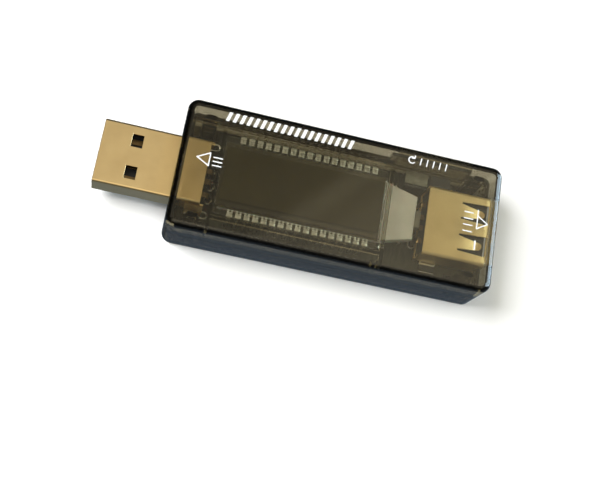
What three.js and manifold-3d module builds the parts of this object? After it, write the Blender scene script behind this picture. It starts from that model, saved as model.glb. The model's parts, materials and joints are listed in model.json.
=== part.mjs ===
// Inline USB power meter: a standard-A plug, a translucent two-part case with a pin-mounted
// display and a side reset key, and a standard-A socket.
//
// Millimetres, +X from the plug towards the socket, +Y towards the reset key, +Z up.
// The origin is under the middle of the whole object, on the plane that it rests on.
// Inside the assembly group, x = 0 is the middle of the case.
import * as THREE from "three";
import { mergeVertices } from "three/addons/utils/BufferGeometryUtils.js";
import Module from "manifold-3d";

const wasm = await Module();
wasm.setup();

// ---------------------------------------------------------------- driving dimensions

const CASE = {
  length: 58.8, width: 24, height: 11.6, wall: 1.2, cornerRadius: 1.9, roofRound: 1.2, floorRound: 0.5,
};
const ROUND_STEP = 0.25;
const PARTING = { z: 6.3, gap: 0.12 };
const LIP = { thickness: 0.55, gap: 0.1, bottom: 5.3, top: 7.0, cornerRadius: 1.4 };
const SNAP = { x: 25, y: 9.2, length: 2.7, width: 1.9, slotLength: 2.1, slotWidth: 1.1, top: 8 };
const RIB = { width: 0.6, depth: 0.9 };

const BOARD = { bottom: 1.9, top: 2.9, halfLength: 27.9, halfWidth: 9.9, neckX: 22.8, neckHalfWidth: 7.9 };
const TAIL_END = 1.45;

const PLUG = {
  reach: 13.6, inside: 5.4, width: 12, height: 4.5, bottom: 3.06, sheet: 0.3, edgeRadius: 0.5,
  holeFromTip: 5.16, holeLength: 2, holeWidth: 2.4, holeOffset: 3,
};
const SOCKET = {
  back: 16.5, mouth: 28.9, width: 13.1, height: 5.8, bottom: 3.1, sheet: 0.3, edgeRadius: 0.6,
  tongueHalfWidth: 5.55, tongueBottom: 6.25, tongueTop: 8.05, tongueTip: 28, blockFront: 20.4,
};
const FINGER = { root: 22.9, tip: 27.5, centre: 3.05, rootHalfWidth: 1.35, tipHalfWidth: 0.75, dip: 0.55 };
const FINGER_WINDOW = { front: 28.1, rootHalfWidth: 1.62, frontHalfWidth: 1.9 };
const CONTACT = { width: 1, thickness: 0.2, outerOffset: 3.5, innerOffset: 1 };

const LCD = {
  left: -21.6, right: 8.4, rearHalfWidth: 7.35, frontHalfWidth: 5.9, glass: 0.6, film: 0.2,
  filmLeft: -21.1, filmRight: 7.9, filmHalfWidth: 4.9, rearFilmHalfWidth: 6, ledgeTop: 8.5,
};
const PINS = { count: 17, first: -18.6, last: 5.9, width: 0.95, shank: 0.5, thickness: 0.2, reach: 1.3 };
const GUIDE = { left: -20.9, right: 14.7, thickness: 2, halfWidth: 5.7, endHalfWidth: 4.1, taperStart: 8.4 };

const KEY = {
  left: 9.6, right: 23.6, bottom: 4.9, top: 9.7, play: 0.15, recess: 0.1, flange: 0.7,
  flangeLeft: 8.4, flangeRight: 23.55, flangeBottom: 4.2, flangeTop: 10.1, travel: 0.35,
};
const SWITCH = { x: 14.35, z: 4.75, width: 4.3, height: 3.4, back: 6.3, front: 9.1 };

// ---------------------------------------------------------------- solids from three.js shapes

const MERGE_TOLERANCE = 1e-4;
const X_AXIS = new THREE.Vector3(1, 0, 0);
const Y_AXIS = new THREE.Vector3(0, 1, 0);
const Z_AXIS = new THREE.Vector3(0, 0, 1);

// Turns a closed three.js geometry into a solid that can be joined and cut.
function toSolid(geometry) {
  const bare = geometry.index ? geometry.toNonIndexed() : geometry.clone();
  bare.deleteAttribute("normal");
  bare.deleteAttribute("uv");
  const merged = mergeVertices(bare, MERGE_TOLERANCE);
  const corners = merged.index.array;
  const triangles = [];
  for (let i = 0; i < corners.length; i += 3) {
    const [a, b, c] = [corners[i], corners[i + 1], corners[i + 2]];
    if (a !== b && b !== c && c !== a) triangles.push(a, b, c);
  }
  return new wasm.Manifold(new wasm.Mesh({
    numProp: 3,
    vertProperties: Float32Array.from(merged.attributes.position.array),
    triVerts: Uint32Array.from(triangles),
  }));
}

function toGeometry(solid) {
  const mesh = solid.getMesh();
  const geometry = new THREE.BufferGeometry();
  geometry.setAttribute("position", new THREE.BufferAttribute(mesh.vertProperties, 3));
  geometry.setIndex(new THREE.BufferAttribute(mesh.triVerts, 1));
  geometry.computeVertexNormals();
  return geometry;
}

const join = (...solids) => solids.reduce((whole, solid) => whole.add(solid));
const cut = (solid, ...tools) => tools.reduce((rest, tool) => rest.subtract(tool), solid);

// A box between two limits on each axis.
function block([x0, x1], [y0, y1], [z0, z1]) {
  const geometry = new THREE.BoxGeometry(x1 - x0, y1 - y0, z1 - z0);
  geometry.translate((x0 + x1) / 2, (y0 + y1) / 2, (z0 + z1) / 2);
  return toSolid(geometry);
}

// A box given by its middle in x and y, its size there, and its limits in z.
function blockAt(x, y, length, width, z) {
  return block([x - length / 2, x + length / 2], [y - width / 2, y + width / 2], z);
}

function roundedRectangle([x0, x1], [y0, y1], radius) {
  const outline = new THREE.Shape();
  outline.moveTo(x0 + radius, y0);
  outline.absarc(x1 - radius, y0 + radius, radius, -Math.PI / 2, 0);
  outline.absarc(x1 - radius, y1 - radius, radius, 0, Math.PI / 2);
  outline.absarc(x0 + radius, y1 - radius, radius, Math.PI / 2, Math.PI);
  outline.absarc(x0 + radius, y0 + radius, radius, Math.PI, 1.5 * Math.PI);
  return outline;
}

const polygon = (points) => new THREE.Shape(points.map(([u, v]) => new THREE.Vector2(u, v)));

// Extrusions of an outline: drawn in XY and raised along Z, drawn in XZ and swept along Y,
// or drawn in YZ and swept along X.
function extruded(outline, depth, curveSegments) {
  return new THREE.ExtrudeGeometry(outline, { depth, bevelEnabled: false, curveSegments });
}

function prismZ(outline, [z0, z1], curveSegments = 5) {
  return toSolid(extruded(outline, z1 - z0, curveSegments).translate(0, 0, z0));
}

function prismY(outline, [y0, y1], curveSegments = 5) {
  const turn = new THREE.Matrix4().makeBasis(X_AXIS, Z_AXIS, Y_AXIS.clone().negate());
  return toSolid(extruded(outline, y1 - y0, curveSegments).applyMatrix4(turn).translate(0, y1, 0));
}

function prismX(outline, [x0, x1], curveSegments = 5) {
  const turn = new THREE.Matrix4().makeBasis(Y_AXIS, Z_AXIS, X_AXIS);
  return toSolid(extruded(outline, x1 - x0, curveSegments).applyMatrix4(turn).translate(x0, 0, 0));
}

// The outline of a bent strip of even thickness along a centre line of [u, v] points.
function stripOutline(centreLine, thickness) {
  const points = centreLine.map(([u, v]) => new THREE.Vector2(u, v));
  const side = (from, to) => {
    const along = to.clone().sub(from).normalize();
    return new THREE.Vector2(-along.y, along.x);
  };
  const offsets = points.map((point, i) => {
    const before = i > 0 ? side(points[i - 1], point) : side(point, points[i + 1]);
    const after = i < points.length - 1 ? side(point, points[i + 1]) : before;
    const mitre = before.clone().add(after);
    return mitre.multiplyScalar(thickness / 2 / (1 + before.dot(after)));
  });
  const right = points.map((point, i) => point.clone().sub(offsets[i]));
  const left = points.map((point, i) => point.clone().add(offsets[i]));
  return new THREE.Shape([...right, ...left.reverse()]);
}

// ---------------------------------------------------------------- materials

const paint = (color, roughness, metalness = 0, extra = {}) => (
  new THREE.MeshStandardMaterial({ color, roughness, metalness, ...extra })
);
const smokyPlastic = () => paint(0x3b382c, 0.12, 0, { transparent: true, opacity: 0.55 });
const blackPlastic = () => paint(0x17181a, 0.5);
const goldPlate = () => paint(0xc9a468, 0.32, 1);
const tinPlate = () => paint(0xc4c4bd, 0.35, 1);
const displayGlass = () => paint(0x9aa394, 0.05, 0, { transparent: true, opacity: 0.5 });

const meshes = [];
function addPart(name, solid, material) {
  const mesh = new THREE.Mesh(toGeometry(solid), material);
  mesh.name = name;
  meshes.push(mesh);
}

// ---------------------------------------------------------------- case

const halfLength = CASE.length / 2;
const halfWidth = CASE.width / 2;
const roofInside = CASE.height - CASE.wall;
const innerHalfLength = halfLength - CASE.wall;
const innerHalfWidth = halfWidth - CASE.wall;
const beyond = 1;

function caseBlock(round) {
  const outline = roundedRectangle(
    [-halfLength + round, halfLength - round],
    [-halfWidth + round, halfWidth - round],
    CASE.cornerRadius - round,
  );
  const geometry = new THREE.ExtrudeGeometry(outline, {
    depth: CASE.height - 2 * round,
    bevelEnabled: true,
    bevelSize: round,
    bevelThickness: round,
    bevelSegments: Math.ceil(round / ROUND_STEP),
    curveSegments: 6,
  });
  return toSolid(geometry.translate(0, 0, round));
}

function caseCavity() {
  const outline = roundedRectangle(
    [-innerHalfLength, innerHalfLength],
    [-innerHalfWidth, innerHalfWidth],
    CASE.cornerRadius - CASE.wall,
  );
  return prismZ(outline, [CASE.wall, roofInside]);
}

// The holes through the walls, for the plug, the socket and the reset key.
const CONNECTOR_PLAY = 0.07;

function plugHole() {
  const play = CONNECTOR_PLAY;
  const outline = roundedRectangle(
    [-PLUG.width / 2 - play, PLUG.width / 2 + play],
    [PLUG.bottom - play, PLUG.bottom + PLUG.height + play],
    PLUG.edgeRadius,
  );
  return prismX(outline, [-halfLength - beyond, -innerHalfLength + beyond]);
}

function socketHole() {
  const play = CONNECTOR_PLAY;
  const outline = roundedRectangle(
    [-SOCKET.width / 2 - play, SOCKET.width / 2 + play],
    [SOCKET.bottom - play, SOCKET.bottom + SOCKET.height + play],
    SOCKET.edgeRadius,
  );
  return prismX(outline, [innerHalfLength - beyond, halfLength + beyond]);
}

function keyHole() {
  return block([KEY.left, KEY.right], [innerHalfWidth - beyond, halfWidth + beyond], [KEY.bottom, KEY.top]);
}

const wallHoles = () => [plugHole(), socketHole(), keyHole()];

const snapPlaces = [-1, 1].flatMap((sx) => [-1, 1].map((sy) => [sx * SNAP.x, sy * SNAP.y]));

function snapOutline(x, y, length, width) {
  return roundedRectangle([x - length / 2, x + length / 2], [y - width / 2, y + width / 2], width / 3);
}

// Ribs under the roof that frame the display and stiffen the roof.
function roofRibs() {
  const z = [roofInside - RIB.depth, roofInside + 0.1];
  const half = RIB.width / 2;
  const frame = { left: LCD.left - 0.6, right: LCD.right + 0.4, near: -innerHalfWidth - 0.1, far: 8.35 };
  const across = (x, far) => block([x - half, x + half], [frame.near, far], z);
  const along = (y, x0, x1) => block([x0, x1], [y - half, y + half], z);
  return [
    across(frame.left, frame.far),
    across(frame.right, frame.far),
    along(frame.far, -innerHalfLength - 0.1, frame.right),
    along(-frame.far - 0.4, frame.left, frame.right),
  ];
}

// Upright ribs on the inside of the near wall, at the ends of the display.
function wallRibs() {
  const z = [PARTING.z + 1.2, roofInside + 0.1];
  return [LCD.left - 0.6, LCD.right - 1.2, LCD.right - 0.2].map((x) => (
    block([x - 0.2, x + 0.2], [-innerHalfWidth - 0.1, -innerHalfWidth + 0.6], z)
  ));
}

function snapPegs() {
  const play = 0.1;
  return snapPlaces.map(([x, y]) => prismZ(
    snapOutline(x, y, SNAP.slotLength - 2 * play, SNAP.slotWidth - 2 * play),
    [PARTING.z + 0.4, roofInside + 0.1],
    2,
  ));
}

function topCover() {
  const above = block(
    [-halfLength - beyond, halfLength + beyond],
    [-halfWidth - beyond, halfWidth + beyond],
    [PARTING.z + PARTING.gap / 2, CASE.height + beyond],
  );
  const shell = cut(caseBlock(CASE.roofRound).intersect(above), caseCavity());
  return cut(join(shell, ...roofRibs(), ...wallRibs(), ...snapPegs()), ...wallHoles());
}

// The lip stands up inside the top cover's walls and keeps the halves in line.
function lip() {
  const ring = (inset, radius, z) => prismZ(roundedRectangle(
    [-innerHalfLength + inset, innerHalfLength - inset],
    [-innerHalfWidth + inset, innerHalfWidth - inset],
    radius,
  ), z);
  const root = ring(-0.2, LIP.cornerRadius, [LIP.bottom, PARTING.z - PARTING.gap / 2]);
  const edge = ring(LIP.gap, LIP.cornerRadius - LIP.gap, [LIP.bottom + 0.1, LIP.top]);
  const inside = ring(
    LIP.gap + LIP.thickness,
    LIP.cornerRadius - LIP.gap - LIP.thickness,
    [LIP.bottom - beyond, LIP.top + beyond],
  );
  return join(root, edge).subtract(inside);
}

// Room in the lip behind the key, for the key's flange and its travel.
function lipGap() {
  const side = 0.1;
  return block(
    [KEY.flangeLeft - side, KEY.flangeRight + side],
    [innerHalfWidth - 2, innerHalfWidth],
    [LIP.bottom - 1.5, LIP.top + beyond],
  );
}

// Short ribs on the floor carry the board.
function boardRests() {
  const z = [CASE.wall - 0.1, BOARD.bottom];
  return [-19, 0, 19].flatMap((x) => [-1, 1].map((side) => blockAt(x, side * 9.1, 1, 1.2, z)));
}

function snapBosses() {
  return snapPlaces.map(([x, y]) => prismZ(
    snapOutline(x, y, SNAP.length, SNAP.width),
    [CASE.wall - 0.1, SNAP.top],
    3,
  ));
}

function snapSlots() {
  return snapPlaces.map(([x, y]) => prismZ(
    snapOutline(x, y, SNAP.slotLength, SNAP.slotWidth),
    [PARTING.z - 0.2, SNAP.top + beyond],
    3,
  ));
}

function bottomCover() {
  const below = block(
    [-halfLength - beyond, halfLength + beyond],
    [-halfWidth - beyond, halfWidth + beyond],
    [-beyond, PARTING.z - PARTING.gap / 2],
  );
  const shell = cut(caseBlock(CASE.floorRound).intersect(below), caseCavity());
  const body = join(shell, lip(), ...boardRests(), ...snapBosses());
  return cut(body, ...snapSlots(), lipGap(), ...wallHoles());
}

addPart("top_cover", topCover(), smokyPlastic());
addPart("bottom_cover", bottomCover(), smokyPlastic());

// ---------------------------------------------------------------- places shared by connectors and board

const plugTip = -halfLength - PLUG.reach;
const plugEnd = -halfLength + PLUG.inside;
const contactOffsets = {
  vbus: CONTACT.outerOffset,
  dminus: CONTACT.innerOffset,
  dplus: -CONTACT.innerOffset,
  ground: -CONTACT.outerOffset,
};
const plugTailX = plugEnd + 1.4;
const socketTailX = SOCKET.back - 0.65;
const plugLeg = { x: plugEnd - 0.9, length: 3.2, step: 0.75 };
const socketLeg = { x: 19.4, length: 2, step: 0 };
const legY = (width, sheet, leg) => (width - sheet) / 2 + leg.step;
const ledLegOffset = 1.1;
const ledX = GUIDE.right + 0.55;
const pinSpacing = (PINS.last - PINS.first) / (PINS.count - 1);
const pinPlaces = Array.from({ length: PINS.count }, (_, i) => PINS.first + i * pinSpacing);
const pinShankY = LCD.rearHalfWidth + 0.05 + PINS.thickness / 2;

// ---------------------------------------------------------------- circuit board

function boardHoles() {
  const z = [BOARD.bottom - beyond, BOARD.top + beyond];
  const hole = (x, y, length, width) => blockAt(x, y, length, width, z);
  const tailHoles = Object.values(contactOffsets).flatMap((y) => [
    hole(plugTailX, y, 0.5, 1.2),
    hole(socketTailX, y, 0.5, 1.2),
  ]);
  const legHoles = [-1, 1].flatMap((side) => [
    hole(plugLeg.x, side * legY(PLUG.width, PLUG.sheet, plugLeg), plugLeg.length + 0.3, 0.6),
    hole(socketLeg.x, side * legY(SOCKET.width, SOCKET.sheet, socketLeg), socketLeg.length + 0.3, 0.6),
    hole(ledX, side * ledLegOffset, 0.5, 0.7),
  ]);
  const pinHoles = pinPlaces.flatMap((x) => [-1, 1].map((side) => hole(x, side * pinShankY, 0.75, 0.5)));
  return [...tailHoles, ...legHoles, ...pinHoles];
}

function circuitBoard() {
  const z = [BOARD.bottom, BOARD.top];
  const wide = block([-BOARD.neckX, BOARD.neckX], [-BOARD.halfWidth, BOARD.halfWidth], z);
  const long = block([-BOARD.halfLength, BOARD.halfLength], [-BOARD.neckHalfWidth, BOARD.neckHalfWidth], z);
  return cut(join(wide, long), ...boardHoles());
}

addPart("circuit_board", circuitBoard(), paint(0x1b1d17, 0.45));

// ---------------------------------------------------------------- plug

function sleeve(width, [z0, z1], sheet, radius, x) {
  const outer = roundedRectangle([-width / 2, width / 2], [z0, z1], radius);
  const inner = roundedRectangle(
    [-width / 2 + sheet, width / 2 - sheet],
    [z0 + sheet, z1 - sheet],
    radius - sheet,
  );
  return prismX(outer, x, 3).subtract(prismX(inner, [x[0] - beyond, x[1] + beyond], 3));
}

// Two legs that run from a shell's side walls down through the board, with an outward step.
function legs(leg, width, sheet, top) {
  const y = legY(width, sheet, leg);
  const wallY = (width - sheet) / 2;
  const centreLine = [[wallY, top], [wallY, top - 0.6], [y, top - 0.6 - leg.step], [y, TAIL_END]];
  const x = [leg.x - leg.length / 2, leg.x + leg.length / 2];
  const far = prismX(stripOutline(centreLine, sheet), x);
  return [far, far.mirror([0, 1, 0])];
}

function plugShell() {
  const z = [PLUG.bottom, PLUG.bottom + PLUG.height];
  const holeX = [plugTip + PLUG.holeFromTip, plugTip + PLUG.holeFromTip + PLUG.holeLength];
  const holes = [-1, 1].map((side) => block(
    holeX,
    [side * PLUG.holeOffset - PLUG.holeWidth / 2, side * PLUG.holeOffset + PLUG.holeWidth / 2],
    [z[0] - beyond, z[1] + beyond],
  ));
  const tube = sleeve(PLUG.width, z, PLUG.sheet, PLUG.edgeRadius, [plugTip, plugEnd]);
  return join(cut(tube, ...holes), ...legs(plugLeg, PLUG.width, PLUG.sheet, PLUG.bottom + 3.4));
}

const plugContactZ = 5.3;

// A contact runs level from its start and then bends down to its tail in the board.
function contactStrip(start, z, tailX) {
  const bend = 0.7;
  const turn = Math.sign(tailX - start) * bend;
  const centreLine = [
    [start, z], [tailX - turn, z], [tailX - 0.3 * turn, z - 0.3 * bend], [tailX, z - bend], [tailX, TAIL_END],
  ];
  return (y, width = CONTACT.width, thickness = CONTACT.thickness) => prismY(
    stripOutline(centreLine, thickness),
    [y - width / 2, y + width / 2],
  );
}

// The plug's tongue lies in the lower half of the shell; its rear block fills the shell.
function plugInsulator() {
  const play = 0.08;
  const inside = PLUG.width / 2 - PLUG.sheet - play;
  const floor = PLUG.bottom + PLUG.sheet + play;
  const roof = PLUG.bottom + PLUG.height - PLUG.sheet - play;
  const strip = contactStrip(plugTip, plugContactZ, plugEnd + 5);
  const tongue = block([plugTip + 0.4, plugEnd - 0.2], [-inside, inside], [floor, plugContactZ - 0.15]);
  const rear = block([-halfLength - 1.6, plugEnd - 0.2], [-inside, inside], [floor, roof]);
  const channels = Object.values(contactOffsets).map((y) => strip(y, CONTACT.width + 0.1, 0.3));
  return cut(join(tongue, rear), ...channels);
}

addPart("plug_shell", plugShell(), goldPlate());
addPart("plug_insulator", plugInsulator(), blackPlastic());
for (const [signal, y] of Object.entries(contactOffsets)) {
  const isOuter = Math.abs(y) === CONTACT.outerOffset;
  const start = plugTip + (isOuter ? 1.2 : 2.2);
  addPart(`plug_contact_${signal}`, contactStrip(start, plugContactZ, plugTailX)(y), goldPlate());
}

// ---------------------------------------------------------------- socket

const socketTop = SOCKET.bottom + SOCKET.height;

// One spring finger of the socket's upper or lower wall, dipping into the mouth.
function springFinger(y, wallZ, inwards) {
  const { root, tip, dip } = FINGER;
  const bow = 0.75 * (tip - root);
  const centreLine = [
    [root - 0.4, wallZ],
    [root + 0.2, wallZ],
    [root + bow, wallZ + inwards * dip],
    [tip, wallZ + inwards * dip * 0.55],
  ];
  const strip = prismY(stripOutline(centreLine, SOCKET.sheet), [y - 3, y + 3]);
  const plan = new THREE.Shape();
  plan.moveTo(root - 0.5, y - FINGER.rootHalfWidth);
  plan.lineTo(tip - FINGER.tipHalfWidth, y - FINGER.tipHalfWidth);
  plan.absarc(tip - FINGER.tipHalfWidth, y, FINGER.tipHalfWidth, -Math.PI / 2, Math.PI / 2);
  plan.lineTo(root - 0.5, y + FINGER.rootHalfWidth);
  return strip.intersect(prismZ(plan, [SOCKET.bottom - 2, socketTop + 2], 5));
}

function fingerWindow(y, wallZ) {
  const { front, rootHalfWidth, frontHalfWidth } = FINGER_WINDOW;
  const outline = polygon([
    [FINGER.root, y - rootHalfWidth],
    [front, y - frontHalfWidth],
    [front, y + frontHalfWidth],
    [FINGER.root, y + rootHalfWidth],
  ]);
  return prismZ(outline, [wallZ - SOCKET.sheet, wallZ + SOCKET.sheet]);
}

function socketShell() {
  const z = [SOCKET.bottom, socketTop];
  const tube = sleeve(SOCKET.width, z, SOCKET.sheet, SOCKET.edgeRadius, [SOCKET.back, SOCKET.mouth]);
  const walls = [[socketTop - SOCKET.sheet / 2, -1], [SOCKET.bottom + SOCKET.sheet / 2, 1]];
  const places = walls.flatMap(([wallZ, inwards]) => [-1, 1].map((side) => (
    { y: side * FINGER.centre, wallZ, inwards }
  )));
  const open = cut(tube, ...places.map(({ y, wallZ }) => fingerWindow(y, wallZ)));
  const fingers = places.map(({ y, wallZ, inwards }) => springFinger(y, wallZ, inwards));
  return join(open, ...fingers, ...legs(socketLeg, SOCKET.width, SOCKET.sheet, SOCKET.bottom + 1));
}

const socketContactZ = SOCKET.tongueBottom - CONTACT.thickness / 2 - 0.02;

// A tongue in the upper part of the mouth, with a block behind it that closes the shell.
function socketInsulator() {
  const play = 0.08;
  const inside = SOCKET.width / 2 - SOCKET.sheet - play;
  const z = [SOCKET.bottom + SOCKET.sheet + play, socketTop - SOCKET.sheet - play];
  const rear = block([SOCKET.back + 0.3, SOCKET.blockFront], [-inside, inside], z);
  const tongue = block(
    [SOCKET.blockFront - 0.5, SOCKET.tongueTip],
    [-SOCKET.tongueHalfWidth, SOCKET.tongueHalfWidth],
    [SOCKET.tongueBottom, SOCKET.tongueTop],
  );
  const strip = contactStrip(SOCKET.mouth, socketContactZ, SOCKET.back - 5);
  const channels = Object.values(contactOffsets).map((y) => strip(y, CONTACT.width + 0.1, 0.3));
  return cut(join(rear, tongue), ...channels);
}

addPart("socket_shell", socketShell(), goldPlate());
addPart("socket_insulator", socketInsulator(), blackPlastic());
const socketContact = contactStrip(SOCKET.tongueTip - 0.9, socketContactZ, socketTailX);
for (const [signal, y] of Object.entries(contactOffsets)) {
  addPart(`socket_contact_${signal}`, socketContact(y), goldPlate());
}

// ---------------------------------------------------------------- display

const rearGlassBottom = LCD.ledgeTop - LCD.glass;
const frontGlassTop = LCD.ledgeTop + LCD.glass;
const guideTop = rearGlassBottom - LCD.film;
const guideBottom = guideTop - GUIDE.thickness;

function plate([x0, x1], plateHalfWidth, z) {
  return block([x0, x1], [-plateHalfWidth, plateHalfWidth], z);
}

addPart(
  "lcd_rear_glass",
  plate([LCD.left, LCD.right], LCD.rearHalfWidth, [rearGlassBottom, LCD.ledgeTop]),
  displayGlass(),
);
addPart(
  "lcd_front_glass",
  plate([LCD.left, LCD.right], LCD.frontHalfWidth, [LCD.ledgeTop, frontGlassTop]),
  displayGlass(),
);
addPart(
  "lcd_front_polarizer",
  plate([LCD.filmLeft, LCD.filmRight], LCD.filmHalfWidth, [frontGlassTop, frontGlassTop + LCD.film]),
  paint(0x2c2a20, 0.25),
);
addPart(
  "lcd_rear_polarizer",
  plate([LCD.left + 0.2, LCD.right - 0.2], LCD.rearFilmHalfWidth, [guideTop, rearGlassBottom]),
  paint(0x2c2a20, 0.25),
);

// A pin grips the ledge of the rear glass with a tab above and a tab below, and runs down
// through the board.
function displayPin(x, side) {
  const inner = LCD.rearHalfWidth + 0.05 + PINS.thickness - PINS.reach;
  const upper = block(
    [x - PINS.width / 2, x + PINS.width / 2],
    [inner, pinShankY + PINS.thickness / 2],
    [LCD.ledgeTop, LCD.ledgeTop + PINS.thickness],
  );
  const lower = block(
    [x - PINS.shank / 2, x + PINS.shank / 2],
    [inner + 0.2, pinShankY],
    [rearGlassBottom - PINS.thickness, rearGlassBottom],
  );
  const shank = blockAt(x, pinShankY, PINS.shank, PINS.thickness, [TAIL_END, LCD.ledgeTop + PINS.thickness]);
  const pin = join(upper, lower, shank);
  return side > 0 ? pin : pin.mirror([0, 1, 0]);
}

// The bead of clear epoxy that holds a row of pins to the edge of the glass.
function epoxyBead(side) {
  const y = [LCD.rearHalfWidth, pinShankY + PINS.thickness / 2 + 0.15];
  const bead = block([PINS.first - 0.7, LCD.right - 0.3], y, [rearGlassBottom + 0.05, LCD.ledgeTop - 0.1]);
  return side > 0 ? bead : bead.mirror([0, 1, 0]);
}

for (const [row, side] of [["far", 1], ["near", -1]]) {
  const pins = pinPlaces.map((x) => displayPin(x, side));
  addPart(`lcd_pin_row_${row}`, join(epoxyBead(side), ...pins), tinPlate());
}

// ---------------------------------------------------------------- backlight

function backlightDiffuser() {
  const { left, right, halfWidth: wide, endHalfWidth: narrow, taperStart } = GUIDE;
  const outline = polygon([
    [left, -wide], [taperStart, -wide], [right, -narrow], [right, narrow], [taperStart, wide], [left, wide],
  ]);
  return prismZ(outline, [guideBottom, guideTop]);
}

function backlightLed() {
  const body = blockAt(ledX, 0, 1, 3.2, [guideBottom + 0.1, guideTop - 0.2]);
  const ledLegs = [-1, 1].map((side) => blockAt(
    ledX, side * ledLegOffset, 0.3, 0.5, [TAIL_END, guideBottom + 0.2],
  ));
  return join(body, ...ledLegs);
}

const REFLECTOR = { inset: 0.3, thickness: 0.15 };

addPart("backlight_diffuser", backlightDiffuser(), paint(0xe6e8df, 0.6));
addPart("backlight_reflector", plate(
  [GUIDE.left + REFLECTOR.inset, GUIDE.taperStart - REFLECTOR.inset],
  GUIDE.halfWidth - REFLECTOR.inset,
  [guideBottom - REFLECTOR.thickness, guideBottom],
), paint(0xf2f2f0, 0.4));
addPart("backlight_led", backlightLed(), paint(0x38372f, 0.45));

// ---------------------------------------------------------------- reset key and its switch

const flangeFront = innerHalfWidth - 0.1;
const flangeBack = flangeFront - KEY.flange;
const presserLength = 0.32;
const plungerTip = flangeBack - presserLength - 0.03;

function resetButton() {
  const face = block(
    [KEY.left + KEY.play, KEY.right - KEY.play],
    [flangeFront - 0.1, halfWidth - KEY.recess],
    [KEY.bottom + KEY.play, KEY.top - KEY.play],
  );
  const flange = block(
    [KEY.flangeLeft, KEY.flangeRight],
    [flangeBack, flangeFront],
    [KEY.flangeBottom, KEY.flangeTop],
  );
  const presser = block(
    [SWITCH.x - 1, SWITCH.x + 1],
    [flangeBack - presserLength, flangeBack + 0.1],
    [KEY.flangeBottom, SWITCH.z + 0.7],
  );
  return join(face, flange, presser);
}

// Inside the switch, from the front: the plunger's base, its stud, the travel, and the snap dome.
const plungerHead = { width: 1.9, height: 1.3 };
const plungerBase = { width: 2.5, height: 1.9, thickness: 0.5 };
const plungerStud = { size: 0.8, length: 0.45 };
const dome = { halfSpan: 1.3, rise: 0.4, sheet: 0.1 };
const plungerBaseBack = SWITCH.front - 0.1 - plungerBase.thickness;
const domeCrown = plungerBaseBack - plungerStud.length - KEY.travel - 0.1;
const cavityBack = domeCrown - dome.rise - dome.sheet - 0.02;

function switchHousing() {
  const body = blockAt(SWITCH.x, (SWITCH.back + SWITCH.front) / 2, SWITCH.width, SWITCH.front - SWITCH.back, [
    BOARD.top + 0.05, BOARD.top + 0.05 + SWITCH.height,
  ]);
  const cavity = block(
    [SWITCH.x - 1.45, SWITCH.x + 1.45],
    [cavityBack, SWITCH.front + beyond],
    [SWITCH.z - 1.1, SWITCH.z + 1.1],
  );
  return cut(body, cavity);
}

function switchPlunger() {
  const step = (width, height, y) => block(
    [SWITCH.x - width / 2, SWITCH.x + width / 2],
    y,
    [SWITCH.z - height / 2, SWITCH.z + height / 2],
  );
  const base = step(plungerBase.width, plungerBase.height, [plungerBaseBack, SWITCH.front - 0.1]);
  const head = step(plungerHead.width, plungerHead.height, [plungerBaseBack, plungerTip]);
  const { size, length } = plungerStud;
  const stud = step(size, size, [plungerBaseBack - length, plungerBaseBack + 0.1]);
  return join(base, head, stud);
}

// A thin snap dome at the back of the switch's cavity, bowed towards the plunger.
function switchDome() {
  const steps = 8;
  const arch = Array.from({ length: steps + 1 }, (_, i) => {
    const u = (2 * i) / steps - 1;
    return [SWITCH.x + u * dome.halfSpan, domeCrown - dome.sheet / 2 - dome.rise * u * u];
  });
  return prismZ(stripOutline(arch, dome.sheet), [SWITCH.z - 0.8, SWITCH.z + 0.8]);
}

function switchCoverPlate() {
  const plateY = [SWITCH.front, SWITCH.front + 0.15];
  const x = [SWITCH.x - SWITCH.width / 2, SWITCH.x + SWITCH.width / 2];
  const z = [BOARD.top + 0.05, BOARD.top + 0.05 + SWITCH.height];
  const front = block(x, plateY, z);
  const roof = block(x, [SWITCH.back + 0.6, SWITCH.front + 0.15], [z[1], z[1] + 0.15]);
  const rim = block(x, plateY, [z[1] - 0.1, z[1] + 0.15]);
  const window = block(
    [SWITCH.x - 1.05, SWITCH.x + 1.05],
    [SWITCH.front - beyond, SWITCH.front + beyond],
    [SWITCH.z - 0.75, SWITCH.z + 0.75],
  );
  return join(front, rim, roof).subtract(window);
}

addPart("reset_button", resetButton(), smokyPlastic());
addPart("switch_housing", switchHousing(), blackPlastic());
addPart("switch_plunger", switchPlunger(), paint(0x2a2a2c, 0.55));
addPart("switch_dome", switchDome(), tinPlate());
addPart("switch_cover_plate", switchCoverPlate(), tinPlate());

// ---------------------------------------------------------------- parts on the board

const SOLDER_GAP = 0.02;
const onBoard = BOARD.top + SOLDER_GAP;

// A moulded chip with gull-wing leads along its two long sides.
function leadedChip({ x, y, length, width, height, leads, pitch }) {
  const body = blockAt(x, y, length, width, [onBoard + 0.15, onBoard + height]);
  const leadTop = onBoard + 0.15 + height / 2;
  const wings = Array.from({ length: leads }, (_, i) => {
    const leadX = x + (i - (leads - 1) / 2) * pitch;
    return [-1, 1].map((side) => {
      const edge = y + side * width / 2;
      const centreLine = [
        [edge - side * 0.2, leadTop], [edge + side * 0.35, leadTop],
        [edge + side * 0.5, onBoard + 0.1], [edge + side * 0.95, onBoard + 0.1],
      ];
      const outline = stripOutline(centreLine, 0.18);
      return prismX(outline, [leadX - 0.15, leadX + 0.15]);
    });
  }).flat();
  return join(body, ...wings);
}

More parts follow.
